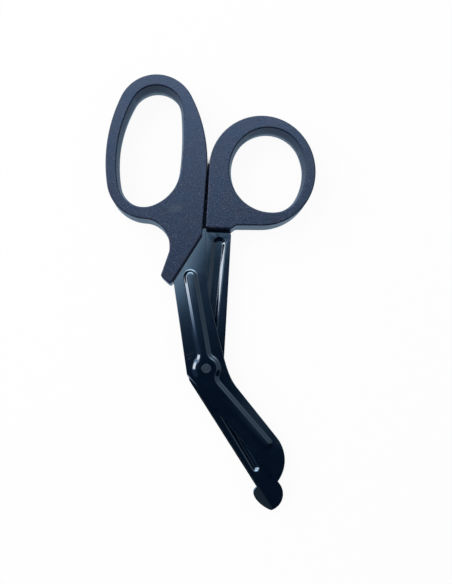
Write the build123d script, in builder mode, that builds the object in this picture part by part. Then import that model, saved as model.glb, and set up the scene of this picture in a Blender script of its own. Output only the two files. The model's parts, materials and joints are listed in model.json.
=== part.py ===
# Bandage scissors, closed, lying flat with the front blade up.
# Millimetres. Z = 0 is the table, +Y points from the blades to the handles, +X to the thumb loop.
import os
from math import acos, asin, atan, cos, degrees, radians, sin, sqrt, tan

from build123d import *

# Sheet blades
sheet = 1.6                     # thickness of the blade steel
blade_gap = 0.1                 # running gap between the two blades
bevel_width = 0.6               # ground bevel along each cutting edge
bevel_land = 0.3                # flat left under the bevel
sheet_edge = 0.25               # rounding of the stamped outer edges

# Pressed ribs and pivot boss, raised on the outer face and hollow on the inner face
rib_height = 0.9
rib_slope = 55                  # lean of the flanks, degrees from upright
rib_crown = 1.5                 # rounding along the crown
rib_foot = 1.5                  # rounding where a flank meets the sheet
rib_rim = 1.2                   # rounding round the hollow's mouth
rib_floor = 0.5                 # rounding round the hollow's floor
rib_blend = 3.0                 # rounding in plan where rib and boss meet
boss_radius = 6.05
boss_left_land = 0.95           # sheet beside the boss
boss_right_land = 1.75
front_shank_rib = 5.8           # foot widths of the shank ribs
rear_shank_rib = 7.3
blade_rib_root = 6.6            # foot width of the blade ribs beside the boss
blade_rib_tip = 5.0             # foot width of the blade ribs at their far end
blade_rib_tuck = 0.15           # how far inside the boss the blade ribs' outer edges start
front_shank_rib_end = (-8.78, 7.8)
front_blade_rib_end = (24.32, -65.3)
rear_shank_rib_end = (3.82, 22.4)
rear_blade_rib_end = (20.02, -76.2)

# Pivot rivet
pivot = (-1.78, -32.5)
rivet_radius = 2.1
rivet_fit = 0.05                # running clearance in the rear blade and under the head
rivet_head_radius = 4.2
rivet_head = 1.2
rivet_head_round = 0.5
rivet_proud = 0.25              # how far the set end stands above the front boss
rivet_end_round = 0.22

# Handles
handle_depth = 10.0
handle_edge = 0.6               # rounding along the handles' face edges
loop_draft = 1.0                # how far the loop walls lean in from face to middle

# Finger loop: end circles of the outside, rims that the opening leaves inside them, and how much
# larger than on a plain round the radius of each joining arc is
finger_top = (-23.38, 77.8)
finger_top_radius = 17.05
finger_top_rim = 5.4
finger_bottom = (-27.68, 49.55)
finger_bottom_radius = 17.3
finger_bottom_rim = 5.9
finger_flat = 34.0
finger_hole_top_rise = 0.6
finger_hole_left_shift = (-1.25, -0.77)  # the opening's lower end has two circles
finger_hole_right_shift = (-2.44, 6.46)
finger_hole_sweep = 6.4         # how much larger the right one is
finger_hole_left_flat = 31.0
finger_hole_bottom_flat = 1.2
finger_hole_right_flat = 100.2

# Finger handle below the loop: spur, slanted exit of the front shank, closing wall
spur_corner = (-21.63, 7.75)
spur_tip = (-17.48, 3.85)
spur_side = -17.78              # wall between the spur and the loop
spur_drop = 13.6                # the spur's root below the loop
spur_round = 1.0
spur_hollow = 6.0               # rounding in plan where the spur leaves the handle
spur_throat = 11.5              # rounding in plan between the spur and the loop
finger_wall_foot = (-3.63, 25.6)
finger_wall_top = (-1.5, 52.35)
finger_wall_round = 1.0

# Thumb loop: nearly round, beside the finger handle's closing wall
thumb_top_radius = 22.65
thumb_swell = 0.19              # how much larger the lower end circle is
thumb_stretch = (0.53, -2.11)   # from the upper end circle's centre to the lower one's
thumb_foot = 29.36              # height of the lowest point
thumb_loop_gap = 0.75           # closing wall to the upper end circle
thumb_left_flat = 9.9
thumb_right_flat = 0.95
thumb_top_rim = 7.02
thumb_bottom_rim = 10.62
thumb_hole_top_shift = (2.85, 1.8)
thumb_hole_bottom_shift = (4.85, -4.95)
thumb_hole_left_flat = 0.15
thumb_hole_right_flat = 5.25

# Thumb handle below the loop: closing wall and the square end round the rear shank
thumb_wall_gap = 1.4            # to the finger handle's closing wall, at the foot
thumb_wall_drop = 0.95          # the wall's foot below the loop's
thumb_end_drop = 1.35           # the end's corner below the loop's foot
thumb_end_lap = 0.25            # plastic past the rear shank's edge
thumb_end_round = 0.9
thumb_notch_width = 1.5
thumb_notch_rise = 0.1
thumb_notch_round = 3.0

# Stop lip along the thumb handle's closing wall
stop_gap = 0.12                 # left between the lip and the finger handle when closed
stop_depth = 2.0
stop_rise = 28.05               # the lip's top above the loop's foot
stop_root = 3.0                 # how far the lip reaches into the thumb handle

# Front blade outline
front_shoulder_right = (-2.08, 27.0)
front_waist_high = (-1.08, 3.2)
front_waist_low = (2.02, -12.1)
front_hip_height = -27.9
front_spine_start = (11.62, -40.8)
front_spine_end = (29.12, -62.7)
front_tip = (28.92, -82.8)
front_tip_round = 0.7
front_heel_height = -35.6
front_heel_land = 2.45          # sheet between the boss and the heel's corner
front_heel_round = 4.0
front_shoulder_left = (-16.38, 6.5)

# Rear blade outline
rear_shoulder_right = (9.12, 26.0)
rear_waist_height = -28.3
rear_edge_start = (4.5, -38.8)
rear_edge_end = (29.92, -82.6)
rear_edge_blend = 6.5
rear_lobe = (32.02, -88.4)
rear_spine_end = (26.92, -95.0)
rear_heel_height = -37.3
rear_heel_land = 1.85
rear_heel_round = 4.0
rear_flank_height = -28.0
rear_neck = (-2.58, 17.5)
rear_shoulder_left = (-2.9, 29.2)

# Foot flange folded back along the end of the rear spine
foot_fold = 12.0                # length of the fold
foot_angle = 35                 # how far the flange is folded, degrees
foot_flange = 4.0               # width of the flange
foot_heel = (19.12, -87.6)       # plan outline of the flange
foot_sole = (22.07, -92.55)

# Tangs inside the handles
tang_width = 6.4
front_tang_end = (-8.08, 42.0)
rear_tang_end = (4.32, 42.0)
front_tang_root_left = 16.0     # heights where the shanks have narrowed to their tangs
front_tang_root_right = 32.0
rear_tang_root_left = 33.0
rear_tang_root_right = 35.0
tang_hole = 1.6                 # radius of the hole that the plastic flows through
tang_hole_inset = 5.0

# Points nearer than this count as one
touching = 0.01

# Outline points that stand beside the boss
boss_left = pivot[0] - boss_radius
boss_right = pivot[0] + boss_radius
front_hip = (boss_right + boss_right_land, front_hip_height)
front_heel = (boss_left - front_heel_land, front_heel_height)
rear_waist = (boss_right + boss_right_land, rear_waist_height)
rear_heel = (boss_left - rear_heel_land, rear_heel_height)
rear_flank = (boss_left - boss_left_land, rear_flank_height)

# Heights
middle = handle_depth / 2
front_inner = middle + blade_gap / 2
rear_inner = middle - blade_gap / 2
rear_outer = rear_inner - sheet
front_crown = front_inner + sheet + rib_height
rear_crown = rear_outer - rib_height


def shifted(point, shift):
    """A plan point moved by a plan distance."""
    return (point[0] + shift[0], point[1] + shift[1])


def closing_wall(height):
    """How far right the finger handle's closing wall stands at a height."""
    lean = (finger_wall_top[0] - finger_wall_foot[0]) / (finger_wall_top[1] - finger_wall_foot[1])
    return finger_wall_foot[0] + lean * (height - finger_wall_foot[1])


def joining_arc(first, second, flat, inset=0):
    """Start, middle and end of the long arc that runs smoothly out of one circle into the next."""
    begin = Vector(*first[0])
    finish = Vector(*second[0])
    axis = finish - begin
    unit = axis.normalized()
    side_radius = (axis.length + first[1] + second[1]) / 2 + flat
    to_first = side_radius - first[1]
    to_second = side_radius - second[1]
    along = (to_first**2 - to_second**2 + axis.length**2) / (2 * axis.length)
    across = sqrt(to_first**2 - along**2)
    centre = begin + unit * along + Vector(-unit.Y, unit.X) * across
    leave = begin + (begin - centre).normalized() * (first[1] - inset)
    arrive = finish + (finish - centre).normalized() * (second[1] - inset)
    bulge = centre + ((leave + arrive) * 0.5 - centre).normalized() * (side_radius - inset)
    return leave, bulge, arrive


def loop_outline(circles, flats, inset=0):
    """Rounded face: circles, each a centre and a radius, taken counterclockwise and joined by long arcs."""
    following = circles[1:] + circles[:1]
    sides = [joining_arc(*pair, flat, inset) for *pair, flat in zip(circles, following, flats)]
    with BuildSketch() as outline:
        with BuildLine():
            for side, next_side, (centre, radius) in zip(sides, sides[1:] + sides[:1], following):
                outward = ((side[2] + next_side[0]) * 0.5 - Vector(*centre)).normalized()
                ThreePointArc(*side)
                ThreePointArc(side[2], Vector(*centre) + outward * (radius - inset), next_side[0])
        make_face()
    return outline.sketch


def loop_opening(outline_of_loop):
    """Solid of a loop's opening: narrowest at middle depth, wider by the draft at both faces."""
    with BuildPart() as opening:
        with BuildSketch(Plane.XY.offset(middle)):
            add(outline_of_loop)
        extrude(amount=middle, both=True, taper=-degrees(atan(loop_draft / middle)))
    return opening.part


def limb_end(wall_foot, wall_top, centre, radius):
    """Point on a circle where an arc that leaves the wall smoothly runs into it."""
    along = (Vector(*wall_top) - Vector(*wall_foot)).normalized()
    inward = Vector(-along.Y, along.X)
    reach = Vector(*wall_top) - Vector(*centre)
    limb_radius = (radius**2 - reach.dot(reach)) / (2 * (inward.dot(reach) + radius))
    limb_centre = Vector(*wall_top) + inward * limb_radius
    return Vector(*centre) + (Vector(*centre) - limb_centre).normalized() * radius


def tangent_point(point, centre, radius):
    """Where a line from a point touches the left side of a circle above it."""
    reach = Vector(*centre) - Vector(*point)
    turn = degrees(asin(radius / reach.length))
    along = sqrt(reach.length**2 - radius**2)
    return Vector(*point) + reach.normalized().rotate(Axis.Z, turn) * along


def band(start, start_width, end, end_width):
    """Straight band with round ends, as wide as asked at each end."""
    first = Vector(*start)
    last = Vector(*end)
    axis = (last - first).normalized()
    across = Vector(-axis.Y, axis.X)
    lean = (start_width - end_width) / 2 / (last - first).length
    left = axis * lean + across * sqrt(1 - lean**2)
    right = axis * lean - across * sqrt(1 - lean**2)
    with BuildSketch() as outline:
        with BuildLine():
            Line(first + right * (start_width / 2), last + right * (end_width / 2))
            ThreePointArc(
                last + right * (end_width / 2),
                last + axis * (end_width / 2),
                last + left * (end_width / 2),
            )
            Line(last + left * (end_width / 2), first + left * (start_width / 2))
            ThreePointArc(
                first + left * (start_width / 2),
                first - axis * (start_width / 2),
                first + right * (start_width / 2),
            )
        make_face()
    return outline.sketch


def near(corners, point):
    """The corner of a sketch nearest to a plan point."""
    return min(corners, key=lambda corner: (Vector(corner.X, corner.Y) - Vector(*point)).length)


def flat_face(solid, height):
    """The level face of a solid at a height."""
    return min(solid.faces().filter_by(Plane.XY), key=lambda face: abs(face.center().Z - height))


def rib_outline(shank_rib, shank_end, blade_end, inset=0):
    """Plan of the pivot boss with one rib up the shank and one down the blade, drawn in by an inset."""
    boss = boss_radius - inset
    reach = Vector(*blade_end) - Vector(*pivot)
    aside = boss_radius - blade_rib_tuck - blade_rib_root / 2
    turn = degrees(acos(aside / reach.length))
    blade_start = Vector(*pivot) + reach.normalized().rotate(Axis.Z, -turn) * aside
    with BuildSketch() as outline:
        with Locations(pivot):
            Circle(boss)
        add(band(pivot, shank_rib - 2 * inset, shank_end, shank_rib - 2 * inset))
        add(band(blade_start, blade_rib_root - 2 * inset, blade_end, blade_rib_tip - 2 * inset))
        throats = [
            corner
            for corner in outline.vertices()
            if abs((Vector(corner.X, corner.Y) - Vector(*pivot)).length - boss) < touching
        ]
        fillet(throats, rib_blend + inset)
    return outline.sketch


def pressed_sheet(outline, ribs, inner_height, outward):
    """Stamped sheet with ribs pressed out of its outer face; outward is 1 for up and -1 for down."""
    outer_height = inner_height + outward * sheet
    hollow_inset = sheet * tan(radians(rib_slope / 2))
    with BuildPart() as pressed:
        with BuildSketch(Plane.XY.offset(inner_height)):
            add(outline)
        extrude(amount=outward * sheet)
        with BuildSketch(Plane.XY.offset(outer_height)):
            add(rib_outline(*ribs))
        extrude(amount=outward * rib_height, taper=rib_slope)
        with BuildSketch(Plane.XY.offset(inner_height)):
            add(rib_outline(*ribs, inset=hollow_inset))
        extrude(amount=outward * rib_height, taper=rib_slope, mode=Mode.SUBTRACT)
        fillet(flat_face(pressed, outer_height + outward * rib_height).edges(), rib_crown)
        fillet(flat_face(pressed, inner_height + outward * rib_height).edges(), rib_floor)
        fillet(flat_face(pressed, outer_height).inner_wires().edges(), rib_foot)
        fillet(flat_face(pressed, outer_height).outer_wire().edges(), sheet_edge)
        fillet(flat_face(pressed, inner_height).inner_wires().edges(), rib_rim)
    return pressed.part


def bevel_wedge(start, end, inner_height, side):
    """Wedge ground off a cutting edge; side is 1 where the blade lies left of start to end, else -1."""
    along = Vector(*end) - Vector(*start)
    into_blade = Vector(-along.Y, along.X).normalized() * side
    with BuildPart() as wedge:
        with BuildSketch(Plane(origin=(*start, inner_height), x_dir=into_blade, z_dir=along)):
            with BuildLine():
                Polyline(
                    (0, bevel_land),
                    (bevel_width, sheet),
                    (bevel_width, 2 * sheet),
                    (-sheet, 2 * sheet),
                    (-sheet, bevel_land),
                    close=True,
                )
            make_face()
        extrude(amount=along.length)
    return wedge.part


# Front blade: cuts along its lower left side and carries the finger handle
with BuildSketch() as front_outline:
    with BuildLine():
        tang_left = front_tang_end[0] - tang_width / 2
        tang_right = front_tang_end[0] + tang_width / 2
        spine_way = (Vector(*front_spine_end) - Vector(*front_spine_start)).normalized()
        shank_way = (Vector(*front_waist_high) - Vector(*front_shoulder_right)).normalized()
        Polyline(
            (tang_left, front_tang_end[1]),
            (tang_right, front_tang_end[1]),
            (tang_right, front_tang_root_right),
            front_shoulder_right,
        )
        Spline(
            front_shoulder_right,
            front_waist_high,
            front_waist_low,
            front_hip,
            front_spine_start,
            tangents=[shank_way, spine_way],
        )
        Line(front_spine_start, front_spine_end)
        TangentArc(front_spine_end, front_tip, tangent=spine_way)
        Polyline(
            front_tip,
            front_heel,
            front_shoulder_left,
            (tang_left, front_tang_root_left),
            (tang_left, front_tang_end[1]),
        )
    make_face()
    fillet(near(front_outline.vertices(), front_heel), front_heel_round)
    fillet(near(front_outline.vertices(), front_tip), front_tip_round)

with BuildPart() as front_blade:
    front_ribs = (front_shank_rib, front_shank_rib_end, front_blade_rib_end)
    add(pressed_sheet(front_outline.sketch, front_ribs, front_inner, 1))
    add(bevel_wedge(front_heel, front_tip, front_inner, 1), mode=Mode.SUBTRACT)
    with Locations((*pivot, front_crown)):
        Hole(rivet_radius)
    with Locations((front_tang_end[0], front_tang_end[1] - tang_hole_inset, front_crown)):
        Hole(tang_hole)

# Rear blade: cuts along its upper right side, ends in the foot and carries the thumb handle
with BuildSketch() as rear_outline:
    with BuildLine():
        tang_left = rear_tang_end[0] - tang_width / 2
        tang_right = rear_tang_end[0] + tang_width / 2
        Polyline(
            (tang_left, rear_tang_end[1]),
            (tang_right, rear_tang_end[1]),
            (tang_right, rear_tang_root_right),
            rear_shoulder_right,
            rear_waist,
            rear_edge_start,
            rear_edge_end,
        )
        ThreePointArc(rear_edge_end, rear_lobe, rear_spine_end)
        Polyline(
            rear_spine_end,
            rear_heel,
            rear_flank,
            rear_neck,
            rear_shoulder_left,
            (tang_left, rear_tang_root_left),
            (tang_left, rear_tang_end[1]),
        )
    make_face()
    fillet(near(rear_outline.vertices(), rear_edge_start), rear_edge_blend)
    fillet(near(rear_outline.vertices(), rear_heel), rear_heel_round)
    fillet(near(rear_outline.vertices(), rear_flank), rear_heel_round)

spine_way = (Vector(*rear_spine_end) - Vector(*rear_heel)).normalized()
fold_start = Vector(*rear_spine_end) - spine_way * foot_fold
fold_origin = (fold_start.X, fold_start.Y, rear_outer)
fold_side = Vector(spine_way.Y, -spine_way.X)
flange_normal = fold_side * sin(radians(foot_angle)) + Vector(0, 0, cos(radians(foot_angle)))

with BuildPart() as foot:
    with BuildSketch(Plane(origin=fold_origin, x_dir=spine_way, z_dir=fold_side)):
        Rectangle(foot_fold, sheet, align=(Align.MIN, Align.MIN))
    revolve(axis=Axis(fold_origin, spine_way), revolution_arc=foot_angle)
    with BuildSketch(Plane(origin=fold_origin, x_dir=spine_way, z_dir=flange_normal)):
        Rectangle(foot_fold, foot_flange, align=(Align.MIN, Align.MAX))
    extrude(amount=sheet)
    with BuildSketch():
        with BuildLine():
            Spline(fold_start, foot_heel, foot_sole, rear_spine_end)
            Line(rear_spine_end, fold_start)
        make_face()
    extrude(amount=rear_inner, mode=Mode.INTERSECT)

with BuildPart() as rear_blade:
    rear_ribs = (rear_shank_rib, rear_shank_rib_end, rear_blade_rib_end)
    add(pressed_sheet(rear_outline.sketch, rear_ribs, rear_inner, -1))
    add(bevel_wedge(rear_edge_start, rear_edge_end, rear_inner, -1), mode=Mode.SUBTRACT)
    add(foot.part)
    with Locations((*pivot, front_crown)):
        Hole(rivet_radius + rivet_fit)
    with Locations((rear_tang_end[0], rear_tang_end[1] - tang_hole_inset, front_crown)):
        Hole(tang_hole)

# Finger handle, moulded round the front tang
with BuildPart() as finger_handle:
    with BuildSketch() as finger_plan:
        finger_ends = [(finger_top, finger_top_radius), (finger_bottom, finger_bottom_radius)]
        add(loop_outline(finger_ends, [finger_flat, finger_flat]))
        with BuildLine():
            limb = limb_end(finger_wall_foot, finger_wall_top, finger_top, finger_top_radius)
            wall_way = Vector(*finger_wall_top) - Vector(*finger_wall_foot)
            throat = (spur_side, finger_bottom[1])
            spur_root = (spur_side, finger_bottom[1] - finger_bottom_radius - spur_drop)
            Polyline(spur_corner, spur_tip, finger_wall_foot, finger_wall_top)
            TangentArc(finger_wall_top, limb, tangent=wall_way)
            Polyline(limb, finger_top, finger_bottom, throat, spur_root, spur_corner)
        make_face()
        fillet(near(finger_plan.vertices(), throat), spur_throat)
        fillet(near(finger_plan.vertices(), spur_root), spur_hollow)
        fillet(near(finger_plan.vertices(), finger_wall_foot), finger_wall_round)
        fillet(near(finger_plan.vertices(), spur_corner), spur_round)
        fillet(near(finger_plan.vertices(), spur_tip), spur_round)
    extrude(amount=handle_depth)
    lower_radius = finger_bottom_radius - finger_bottom_rim
    finger_hole = loop_outline(
        [
            (shifted(finger_top, (0, finger_hole_top_rise)), finger_top_radius - finger_top_rim),
            (shifted(finger_bottom, finger_hole_left_shift), lower_radius),
            (shifted(finger_bottom, finger_hole_right_shift), lower_radius + finger_hole_sweep),
        ],
        [finger_hole_left_flat, finger_hole_bottom_flat, finger_hole_right_flat],
        inset=loop_draft,
    )
    add(loop_opening(finger_hole), mode=Mode.SUBTRACT)
    fillet(finger_handle.faces().filter_by(Plane.XY).edges(), handle_edge)
    add(front_blade.part, mode=Mode.SUBTRACT)

# Thumb handle, moulded round the rear tang
with BuildPart() as thumb_handle:
    thumb_bottom_radius = thumb_top_radius + thumb_swell
    thumb_height = thumb_foot + thumb_bottom_radius - thumb_stretch[1]
    thumb_top = (closing_wall(thumb_height) + thumb_loop_gap + thumb_top_radius, thumb_height)
    thumb_bottom = shifted(thumb_top, thumb_stretch)
    thumb_ends = [(thumb_top, thumb_top_radius), (thumb_bottom, thumb_bottom_radius)]
    wall_low = thumb_foot - thumb_wall_drop
    wall_foot = (closing_wall(wall_low) + thumb_wall_gap, wall_low)
    wall_end = tangent_point(wall_foot, thumb_top, thumb_top_radius)
    end_corner = (rear_shoulder_right[0] + thumb_end_lap, thumb_foot - thumb_end_drop)
    end_notch = (end_corner[0] + thumb_notch_width, thumb_foot + thumb_notch_rise)
    with BuildSketch() as thumb_plan:
        add(loop_outline(thumb_ends, [thumb_left_flat, thumb_right_flat]))
        with BuildLine():
            Polyline(
                wall_foot,
                end_corner,
                end_notch,
                (thumb_bottom[0], thumb_foot),
                thumb_top,
                wall_end,
                close=True,
            )
        make_face()
        fillet(near(thumb_plan.vertices(), end_notch), thumb_notch_round)
        fillet(near(thumb_plan.vertices(), end_corner), thumb_end_round)
        fillet(near(thumb_plan.vertices(), wall_foot), thumb_end_round)
    extrude(amount=handle_depth)
    thumb_hole = loop_outline(
        [
            (shifted(thumb_top, thumb_hole_top_shift), thumb_top_radius - thumb_top_rim),
            (shifted(thumb_bottom, thumb_hole_bottom_shift), thumb_bottom_radius - thumb_bottom_rim),
        ],
        [thumb_hole_left_flat, thumb_hole_right_flat],
        inset=loop_draft,
    )
    add(loop_opening(thumb_hole), mode=Mode.SUBTRACT)
    fillet(thumb_handle.faces().filter_by(Plane.XY).edges(), handle_edge)
    with BuildSketch(Plane.XY.offset(middle)):
        with Locations((wall_foot[0], thumb_foot)):
            Rectangle(2 * stop_root, stop_rise, align=(Align.CENTER, Align.MIN))
        offset(finger_plan.sketch, amount=stop_gap, mode=Mode.SUBTRACT)
    extrude(amount=stop_depth / 2, both=True)
    add(rear_blade.part, mode=Mode.SUBTRACT)

# Pivot rivet: set fast in the front blade, with its head behind the rear blade
with BuildPart() as pivot_rivet:
    head_top = rear_crown - rivet_fit
    with BuildSketch(Plane.XY.offset(head_top)):
        with Locations(pivot):
            Circle(rivet_head_radius)
    extrude(amount=-rivet_head)
    with BuildSketch(Plane.XY.offset(head_top)):
        with Locations(pivot):
            Circle(rivet_radius)
    extrude(amount=front_crown + rivet_proud - head_top)
    fillet(pivot_rivet.edges().sort_by(Axis.Z)[0], rivet_head_round)
    fillet(pivot_rivet.edges().sort_by(Axis.Z)[-1], rivet_end_round)

front_blade.part.label = "front_blade"
rear_blade.part.label = "rear_blade"
finger_handle.part.label = "finger_handle"
thumb_handle.part.label = "thumb_handle"
pivot_rivet.part.label = "pivot_rivet"

os.makedirs("parts", exist_ok=True)
export_step(front_blade.part, "parts/front_blade.step")
export_step(rear_blade.part, "parts/rear_blade.step")
export_step(finger_handle.part, "parts/finger_handle.step")
export_step(thumb_handle.part, "parts/thumb_handle.step")
export_step(pivot_rivet.part, "parts/pivot_rivet.step")
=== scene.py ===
# Bandage scissors lying closed on a pale table, seen from straight above
import json
from math import pi, radians

import bmesh
import bpy
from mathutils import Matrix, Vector

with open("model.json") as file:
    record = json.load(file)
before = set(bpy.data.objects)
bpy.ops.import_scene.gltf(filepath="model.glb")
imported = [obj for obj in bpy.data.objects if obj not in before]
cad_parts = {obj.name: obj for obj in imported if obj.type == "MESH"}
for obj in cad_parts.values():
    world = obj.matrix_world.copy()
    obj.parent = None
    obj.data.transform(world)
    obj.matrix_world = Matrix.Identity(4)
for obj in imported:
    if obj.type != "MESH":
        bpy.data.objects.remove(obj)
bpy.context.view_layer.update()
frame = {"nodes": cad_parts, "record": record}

MM = 0.001
WHITE = (1, 1, 1, 1)
scene = bpy.context.scene
scene.view_settings.view_transform = "Standard"


def math_operator(operation):
    """An operator on signals and its reflected form, each adding one Math node."""

    def forward(self, other):
        return self.math(operation, self, other)

    def reflected(self, other):
        return self.math(operation, other, self)

    return forward, reflected


class Signal:
    """One socket of a node tree; arithmetic adds Math nodes, | is the larger and & the smaller."""

    def __init__(self, shader, socket):
        self.shader = shader
        self.socket = socket

    def math(self, operation, *values):
        return self.shader.node("ShaderNodeMath", {"operation": operation}, dict(enumerate(values)))

    __add__, __radd__ = math_operator("ADD")
    __sub__, __rsub__ = math_operator("SUBTRACT")
    __mul__, __rmul__ = math_operator("MULTIPLY")
    __truediv__, __rtruediv__ = math_operator("DIVIDE")
    __pow__, __rpow__ = math_operator("POWER")
    __or__, __ror__ = math_operator("MAXIMUM")
    __and__, __rand__ = math_operator("MINIMUM")

    def __abs__(self):
        return self.math("ABSOLUTE", self)


# Share of a mark's half length from which it fades towards the tip
MARK_FADE = 0.6


class Shader:
    """A node tree whose nodes all come from one method."""

    def __init__(self, tree):
        self.tree = tree
        tree.nodes.clear()

    def node(self, kind, settings=None, sockets=None, output=0):
        made = self.tree.nodes.new(kind)
        for name, value in (settings or {}).items():
            setattr(made, name, value)
        for name, value in (sockets or {}).items():
            if isinstance(value, Signal):
                self.tree.links.new(value.socket, made.inputs[name])
            else:
                made.inputs[name].default_value = value
        if made.outputs:
            return Signal(self, made.outputs[output])

    def place(self):
        """Point on the object, in metres."""
        return self.node("ShaderNodeTexCoord", output="Object")

    def axes(self, vector):
        """The three parts of a vector."""
        parts = self.node("ShaderNodeSeparateXYZ", sockets={"Vector": vector})
        return [Signal(self, socket) for socket in parts.socket.node.outputs]

    def noise(self, place, size, detail=2.0, roughness=0.5):
        """Smooth noise from 0 to 1 with features of a size in metres."""
        return self.node(
            "ShaderNodeTexNoise",
            sockets={"Vector": place, "Scale": 1 / size, "Detail": detail, "Roughness": roughness},
        )

    def ease(self, value, start, end, low=0.0, high=1.0):
        """Smooth step from low at start to high at end."""
        return self.node(
            "ShaderNodeMapRange",
            {"interpolation_type": "SMOOTHSTEP"},
            {"Value": value, "From Min": start, "From Max": end, "To Min": low, "To Max": high},
        )

    def blend(self, factor, first, second):
        """Colour between first and second."""
        return self.node(
            "ShaderNodeMix",
            {"data_type": "RGBA"},
            {"Factor": factor, 6: first, 7: second},
            output=2,
        )

    def scaled(self, colour, level):
        """Colour times a level."""
        return self.node(
            "ShaderNodeVectorMath",
            {"operation": "SCALE"},
            {0: colour, "Scale": level},
        )

    def mixed(self, factor, first, second):
        """Surface between first and second."""
        return self.node("ShaderNodeMixShader", sockets={0: factor, 1: first, 2: second})

    def bump(self, height, depth):
        """Surface normal for a height from 0 to 1, so many metres deep."""
        return self.node(
            "ShaderNodeBump",
            sockets={"Height": height, "Distance": depth},
            output="Normal",
        )

    def from_line(self, place, start, end):
        """Way along a line between two plan points in millimetres, and to its left, in metres."""
        x, y, _ = self.axes(place)
        first = Vector(start) * MM
        way = (Vector(end) - Vector(start)).normalized()
        along = (x - first.x) * way.x + (y - first.y) * way.y
        across = (y - first.y) * way.x - (x - first.x) * way.y
        return along, across

    def stroke(self, place, start, end, width):
        """Mask of a straight mark between two plan points in millimetres, fading at its ends."""
        along, across = self.from_line(place, start, end)
        half_length = (Vector(end) - Vector(start)).length * MM / 2
        from_middle = abs(along / half_length - 1)
        return self.ease(abs(across), width * MM, 0) * self.ease(from_middle, 1.0, MARK_FADE)

    def light_path(self, kind):
        """1 for rays of a kind."""
        return self.node("ShaderNodeLightPath", output=kind)

    def seen_rays(self):
        """1 for rays that show the background: to the camera, off gloss or through glass."""
        seen = self.light_path("Is Camera Ray") | self.light_path("Is Glossy Ray")
        return seen | self.light_path("Is Transmission Ray")


def new_material(name):
    material = bpy.data.materials.new(name)
    material.use_nodes = True
    return material, Shader(material.node_tree)


def surface(shader, sockets):
    """Finish a material with one Principled surface."""
    skin = shader.node("ShaderNodeBsdfPrincipled", sockets=sockets)
    shader.node("ShaderNodeOutputMaterial", sockets={"Surface": skin})


# Handle plastic
PLASTIC_BLUE = (0.0055, 0.0105, 0.030, 1)
PLASTIC_PLUM = (0.0100, 0.0105, 0.027, 1)
PLASTIC_SPECK = (0.095, 0.112, 0.155, 1)
PLASTIC_RUBBED = (0.050, 0.058, 0.076, 1)
PLASTIC_TINT = (0.72, 0.81, 1.0, 1)
PLASTIC_IOR = 1.49
PLASTIC_ROUGH = 0.26
GRAIN_ROUGH = 0.14              # roughness that the grain's tops add
GRAIN_SIZE = 0.55 * MM
GRAIN_DEPTH = 0.08 * MM
CLOUD_SIZE = 6.0 * MM
CLOUD_RANGE = (0.40, 0.60)      # noise over which blue turns to plum
SPECK_SIZE = 0.8 * GRAIN_SIZE
SPECK_RANGE = (0.56, 0.78)      # noise over which a speck comes up
SPECK_PLACES = (80 * MM, 35 * MM)   # from the loops' far ends to the shanks
SPECK_SHARES = (0.3, 0.8)       # strength of the specks at the two places
RUB_RANGE = (0.30, 0.65)        # grain height over which a rub takes hold
GAP_ROUGH = 0.6                 # roughness that the dull lip in the gap adds
GAP_EDGE = 0.2 * MM


def handle_plastic(name, rubs, gap=None):
    """Dark plastic with a fine spark-eroded grain, paler where it is rubbed and dull in the gap."""
    material, shader = new_material(name)
    place = shader.place()
    grain = shader.noise(place, GRAIN_SIZE, detail=3.0, roughness=0.65)
    cloud = shader.noise(place, CLOUD_SIZE, detail=3.0)
    speck = shader.ease(shader.noise(place, SPECK_SIZE, detail=1.0), *SPECK_RANGE)
    hue = shader.blend(shader.ease(cloud, *CLOUD_RANGE), PLASTIC_BLUE, PLASTIC_PLUM)
    _, y, _ = shader.axes(place)
    held = shader.ease(y, *SPECK_PLACES, *SPECK_SHARES)
    colour = shader.blend(speck * held, hue, PLASTIC_SPECK)
    for start, end, width, strength in rubs:
        mark = shader.stroke(place, start, end, width) * shader.ease(grain, *RUB_RANGE) * strength
        colour = shader.blend(mark, colour, PLASTIC_RUBBED)
    rough = PLASTIC_ROUGH + GRAIN_ROUGH * grain
    if gap:
        _, across = shader.from_line(place, *gap)
        rough = rough + GAP_ROUGH * shader.ease(across, 0, GAP_EDGE)
    surface(
        shader,
        {
            "Base Color": colour,
            "Roughness": rough,
            "IOR": PLASTIC_IOR,
            "Specular Tint": PLASTIC_TINT,
            "Normal": shader.bump(grain, GRAIN_DEPTH),
        },
    )
    return material


# Blade coating
COATING = (0.0012, 0.0052, 0.0155, 1)
COATING_WORN = (0.0020, 0.0066, 0.0175, 1)
# Painted sheen: a paler blue-grey for the light that the foot's bent flange catches
FLANGE_PAINTED_SHEEN = (0.012, 0.020, 0.032, 1)
COATING_SCRATCH = (0.10, 0.13, 0.17, 1)
COATING_TINT = (0.80, 0.91, 1.0, 1)
COATING_IOR = 2.3
COATING_ROUGH = 0.06
WORN_ROUGH = 0.05               # roughness that the mottled wear adds
WORN_RANGE = (0.35, 0.75)       # noise over which the coating looks worn
BROKEN_RANGE = (0.42, 0.62)     # noise over which a scratch is broken off
FOLD_EDGE = 0.3 * MM
PEEL_SIZE = 1.6 * MM
PEEL_DEPTH = 0.002 * MM


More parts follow.
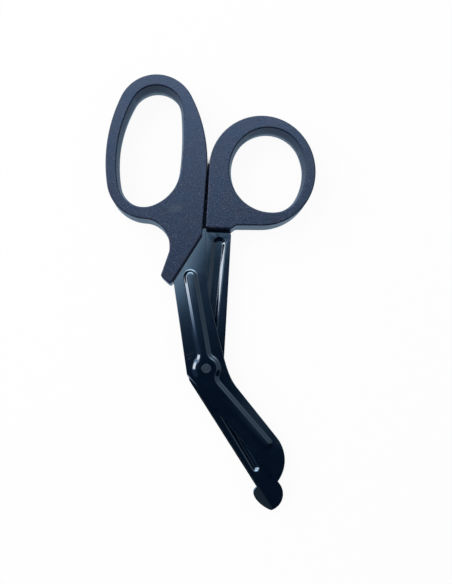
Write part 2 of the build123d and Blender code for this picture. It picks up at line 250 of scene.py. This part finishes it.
def blade_coating(name, scratches, fold=None):
    """Glossy blue-black coating, scratched in places, with a painted sheen to the right of a fold.
    """
    material, shader = new_material(name)
    place = shader.place()
    peel = shader.noise(place, PEEL_SIZE, detail=3.0)
    mottle = shader.noise(place, CLOUD_SIZE, detail=4.0)
    broken = shader.ease(shader.noise(place, GRAIN_SIZE), *BROKEN_RANGE)
    colour = shader.blend(shader.ease(mottle, *WORN_RANGE), COATING, COATING_WORN)
    for start, end, width, strength in scratches:
        mark = shader.stroke(place, start, end, width) * broken * strength
        colour = shader.blend(mark, colour, COATING_SCRATCH)
    if fold:
        _, across = shader.from_line(place, *fold)
        # Painted sheen on the bent flange to the right of the fold
        colour = shader.blend(shader.ease(across, 0, -FOLD_EDGE), colour, FLANGE_PAINTED_SHEEN)
    surface(
        shader,
        {
            "Base Color": colour,
            "Roughness": COATING_ROUGH + WORN_ROUGH * mottle,
            "IOR": COATING_IOR,
            "Specular Tint": COATING_TINT,
            "Normal": shader.bump(peel, PEEL_DEPTH),
        },
    )
    return material


# Rivet
RIVET_COATING = (0.006, 0.010, 0.018, 1)
RIVET_WORN = (0.020, 0.027, 0.040, 1)
RIVET_IOR = 1.6
RIVET_ROUGH = 0.34
PIT_ROUGH = 0.12                # roughness that the pitted wear adds
PIT_SIZE = 0.9 * MM
PIT_RANGE = (0.3, 0.7)          # noise over which the coating is worn off
PIT_HEIGHT = 0.3                # share of the ring's depth
PUNCH_RADIUS = 1.25 * MM        # ring that the setting punch leaves
PUNCH_WIDTH = 0.35 * MM
PUNCH_DEPTH = 0.05 * MM


def rivet_finish():
    """Satin coating with the ring of the setting punch, with wear in the middle and at the rim, and
    painted shade in the ring.
    """
    material, shader = new_material("satin_rivet")
    place = shader.place()
    x, y, _ = shader.axes(place)
    centre = Vector(frame["record"]["behaviour"]["joints"][0]["pos_m"])
    from_axis = ((x - centre.x) ** 2 + (y - centre.y) ** 2) ** 0.5
    ring = shader.ease(abs(from_axis - PUNCH_RADIUS), PUNCH_WIDTH, 0)
    pits = shader.noise(place, PIT_SIZE, detail=4.0)
    # Painted shade: the punch ring is kept out of the wear, so it stays dark like a shaded dimple
    pit_wear_and_ring_shade = shader.ease(pits, *PIT_RANGE) * (1 - ring)
    surface(
        shader,
        {
            "Base Color": shader.blend(pit_wear_and_ring_shade, RIVET_COATING, RIVET_WORN),
            "Roughness": RIVET_ROUGH + PIT_ROUGH * pits,
            "IOR": RIVET_IOR,
            "Specular Tint": COATING_TINT,
            "Normal": shader.bump(PIT_HEIGHT * pits - ring, PUNCH_DEPTH),
        },
    )
    return material


# Shading of the stamped and moulded edges
WELD_DISTANCE = 0.001 * MM
SHARP_ANGLE = radians(28)


def finish_node(name, material):
    """Smooth shading with crisp edges, and the finish, for one piece of the frame."""
    piece = frame["nodes"][name]
    piece.data.materials.clear()
    piece.data.materials.append(material)
    piece.data.polygons.foreach_set("use_smooth", [True] * len(piece.data.polygons))
    weld = piece.modifiers.new("weld", "WELD")
    weld.merge_threshold = WELD_DISTANCE
    split = piece.modifiers.new("crisp_edges", "EDGE_SPLIT")
    split.split_angle = SHARP_ANGLE
    even = piece.modifiers.new("even_faces", "WEIGHTED_NORMAL")
    even.keep_sharp = True


# Marks of use: start and end in plan, half width, all in millimetres, and strength
FINGER_RUBS = [
    ((-18.9, 36.2), (-11.3, 37.6), 2.6, 0.70),
    ((-17.0, 24.7), (-14.2, 26.2), 0.40, 0.90),
]
FRONT_SCRATCHES = [
    ((-10.7, -27.0), (-6.6, -25.1), 0.22, 0.5),
    ((-10.7, -28.9), (-7.9, -27.3), 0.22, 0.7),
    ((-10.7, -2.3), (-6.6, -24.8), 0.18, 0.25),
]

# Plan lines in millimetres: the foot's fold, and the thumb handle's wall along the gap
FOOT_FOLD = ((21.6, -84.9), (27.7, -94.4))
THUMB_WALL = ((-2.0, 28.4), (-0.6, 53.0))

finish_node("finger_handle", handle_plastic("finger_plastic", FINGER_RUBS))
finish_node("thumb_handle", handle_plastic("thumb_plastic", [], THUMB_WALL))
finish_node("front_blade", blade_coating("front_coating", FRONT_SCRATCHES))
finish_node("rear_blade", blade_coating("rear_coating", [], FOOT_FOLD))
finish_node("pivot_rivet", rivet_finish())


def mesh_object(name, shape):
    mesh = bpy.data.meshes.new(name)
    shape.to_mesh(mesh)
    shape.free()
    piece = bpy.data.objects.new(name, mesh)
    scene.collection.objects.link(piece)
    return piece


# Table
FLOOR_SIZE = 6.0
FLOOR_DROP = 0.02 * MM
FLOOR_GLOW = 0.94                    # share of plain white, the rest takes the shadow
FLOOR_SHEEN = (0.50, 0.72, 0.95, 1)  # the table's cool daylight as gloss sees it
FLOOR_PALE = (0.93, 0.93, 0.93, 1)
SLIT_PAINTED_SHADE = (0.05, 0.06, 0.08, 1)    # painted shade for the table at the bottom of a slit
SLIT_SHADE = (0.12, 0.32)            # share of open sky over which it comes to show white
SLIT_REACH = 5.0 * MM
SLIT_SAMPLES = 32


def pale_floor():
    """White table with a faint shadow, and painted shade in the slits of the closed scissors."""
    shape = bmesh.new()
    bmesh.ops.create_grid(shape, x_segments=1, y_segments=1, size=FLOOR_SIZE / 2)
    bmesh.ops.translate(shape, verts=shape.verts, vec=(0, 0, -FLOOR_DROP))
    floor = mesh_object("pale_floor", shape)
    material, shader = new_material("pale_floor")
    open_sky = shader.node(
        "ShaderNodeAmbientOcclusion",
        {"samples": SLIT_SAMPLES},
        {"Distance": SLIT_REACH},
        output="AO",
    )
    # Painted shade: where ambient occlusion finds little open sky, the white gives way to a dark
    # matte
    shade = shader.ease(open_sky, *SLIT_SHADE)
    dark = shader.node("ShaderNodeBsdfDiffuse", sockets={"Color": SLIT_PAINTED_SHADE})
    pale = shader.node("ShaderNodeBsdfDiffuse", sockets={"Color": FLOOR_PALE})
    matte = shader.mixed(shade, dark, pale)
    seen = shader.blend(shader.light_path("Is Camera Ray"), FLOOR_SHEEN, WHITE)
    white = shader.node("ShaderNodeEmission", sockets={"Color": seen, "Strength": 1.0})
    look = shader.mixed(shader.seen_rays() * FLOOR_GLOW * shade, matte, white)
    shader.node("ShaderNodeOutputMaterial", sockets={"Surface": look})
    floor.data.materials.append(material)


# Studio tent: its colours, and the radiance of its parts
TENT_RADIUS = 3.0
TENT_DEEP = (0.35, 0.62, 1.0, 1)
TENT_BLUE = (0.62, 0.82, 1.0, 1)
TENT_WHITE = (1.0, 0.98, 1.0, 1)
TENT_DARK = 0.008
TENT_WALL = 1.7                 # pale wall beyond the handles
TENT_FAR = 3.2                  # how much brighter the wall grows with distance
TENT_RIGHT = 0.28               # dim side beyond the thumb loop
TENT_LEFT = 0.12                # faint glow over the finger side
TENT_PANEL = 4.5                # white panel on the left

# Where the parts of the tent come and go, on a dome of radius 1
WALL_EDGE = (0.12, 0.27)        # near edge, across the scissors
WALL_ASLANT = (-0.06, 0.021)    # stretch over which that edge runs aslant
WALL_SLOPE = 1.9
WALL_HEIGHT = (0.35, 0.75)
WALL_CORNER = (-0.25, -0.05)    # left end, which runs aslant
WALL_CORNER_SLOPE = 1.2
WALL_RIGHT = (0.28, 0.50)       # fall towards the right
WALL_RIGHT_SHARE = 0.15         # what is left of the wall beyond that
WALL_FAR = (0.35, 0.65)
RIGHT_EDGE = (0.05, 0.14)
RIGHT_NEAR = (-0.20, -0.10)
RIGHT_HEIGHT = (0.05, 0.3)
LEFT_EDGE = (-0.06, 0.10)
PANEL_NEAR = (-0.16, -0.02)     # the panel's near end, as a slope seen from above
PANEL_FAR = (0.8, 0.35)         # its far end, as a slope too
PANEL_INNER = (0, -0.2)
PANEL_FOOT = (0.08, 0.22)
PANEL_TOP = (0.80, 0.60)
PANEL_CLEAR = 0.05              # least way to the left, which keeps the slope finite


def dark_tent():
    """Tent that only gloss sees: dark overhead, pale beyond the handles, a panel on the left."""
    shape = bmesh.new()
    bmesh.ops.create_icosphere(shape, subdivisions=5, radius=TENT_RADIUS)
    bmesh.ops.bisect_plane(
        shape,
        geom=shape.verts[:] + shape.edges[:] + shape.faces[:],
        plane_co=(0, 0, -FLOOR_DROP),
        plane_no=(0, 0, -1),
        clear_outer=True,
    )
    tent = mesh_object("dark_tent", shape)
    material, shader = new_material("dark_tent")
    x, y, z = (part / TENT_RADIUS for part in shader.axes(shader.place()))
    aslant_from, aslant_to = WALL_ASLANT
    aslant = (x & aslant_to) | aslant_from
    wall = shader.ease(y - WALL_SLOPE * aslant, *WALL_EDGE) * shader.ease(z, *WALL_HEIGHT)
    wall = wall * shader.ease(x + WALL_CORNER_SLOPE * y, *WALL_CORNER)
    wall = wall * shader.ease(x, *WALL_RIGHT, 1.0, WALL_RIGHT_SHARE)
    wall = wall * (1 + TENT_FAR * shader.ease(y, *WALL_FAR))
    right = shader.ease(x, *RIGHT_EDGE) * shader.ease(y, *RIGHT_NEAR)
    right = right * shader.ease(z, *RIGHT_HEIGHT)
    left = shader.ease(y - x, *LEFT_EDGE)
    slope = y / (PANEL_CLEAR | -1 * x)
    panel = shader.ease(slope, *PANEL_NEAR) * shader.ease(slope, *PANEL_FAR)
    panel = panel * shader.ease(x, *PANEL_INNER)
    panel = panel * shader.ease(z, *PANEL_FOOT) * shader.ease(z, *PANEL_TOP)
    hue = shader.blend(wall | right, TENT_DEEP, TENT_BLUE)
    hue = shader.blend(panel, hue, TENT_WHITE)
    level = TENT_DARK + TENT_WALL * wall + TENT_RIGHT * right + TENT_LEFT * left
    level = level + TENT_PANEL * panel
    glow = shader.node(
        "ShaderNodeEmission",
        sockets={"Color": shader.scaled(hue, level), "Strength": 1.0},
    )
    shader.node("ShaderNodeOutputMaterial", sockets={"Surface": glow})
    tent.data.materials.append(material)
    tent.visible_camera = False
    tent.visible_diffuse = False
    tent.visible_transmission = False
    tent.visible_shadow = False


# Lamps: name, place and size in metres, radiance
LAMPS = [
    ("left_box", (-0.72, 0.29, 0.45), (0.92, 0.55), 3.5),
    ("high_box", (-0.45, 0.50, 0.70), (0.6, 0.6), 1.6),
    ("right_box", (0.80, 0.25, 0.14), (0.6, 0.22), 0.8),
]
FILL_LEVEL = 0.5


def soft_box(name, place, size, radiance):
    """Rectangular lamp of a radiance, turned to the origin and kept out of the gloss."""
    width, height = size
    lamp = bpy.data.lights.new(name, "AREA")
    lamp.shape = "RECTANGLE"
    lamp.size = width
    lamp.size_y = height
    lamp.energy = radiance * pi * width * height
    holder = bpy.data.objects.new(name, lamp)
    holder.location = place
    holder.rotation_mode = "QUATERNION"
    holder.rotation_quaternion = (-Vector(place)).to_track_quat("-Z", "Y")
    holder.visible_glossy = False
    scene.collection.objects.link(holder)


def studio_world():
    """White where the background is seen, and an even fill for the rest of the light."""
    world = bpy.data.worlds.new("studio")
    world.use_nodes = True
    scene.world = world
    shader = Shader(world.node_tree)
    white = shader.node("ShaderNodeBackground", sockets={"Color": WHITE, "Strength": 1.0})
    fill = shader.node("ShaderNodeBackground", sockets={"Color": WHITE, "Strength": FILL_LEVEL})
    look = shader.mixed(shader.seen_rays(), fill, white)
    shader.node("ShaderNodeOutputWorld", sockets={"Surface": look})


# Camera: the photograph's frame, the pixel straight below the lens, and the lens over the table
PHOTO_SIZE = (452, 584)
PHOTO_AXIS = (203, 349)
FOCAL_PIXELS = 556
EYE = Vector((-3.26, -23.95, 250.0)) * MM
SENSOR = 36.0
CLIP_START = 10 * MM


def photo_camera():
    photo_width, photo_height = PHOTO_SIZE
    axis_x, axis_y = PHOTO_AXIS
    lens = bpy.data.cameras.new("photo_camera")
    lens.sensor_width = SENSOR
    lens.lens = SENSOR * FOCAL_PIXELS / photo_height
    lens.shift_x = (photo_width / 2 - axis_x) / photo_height
    lens.shift_y = (axis_y - photo_height / 2) / photo_height
    lens.clip_start = CLIP_START
    camera = bpy.data.objects.new("photo_camera", lens)
    camera.location = EYE
    scene.collection.objects.link(camera)
    scene.camera = camera


pale_floor()
dark_tent()
for lamp in LAMPS:
    soft_box(*lamp)
studio_world()
photo_camera()
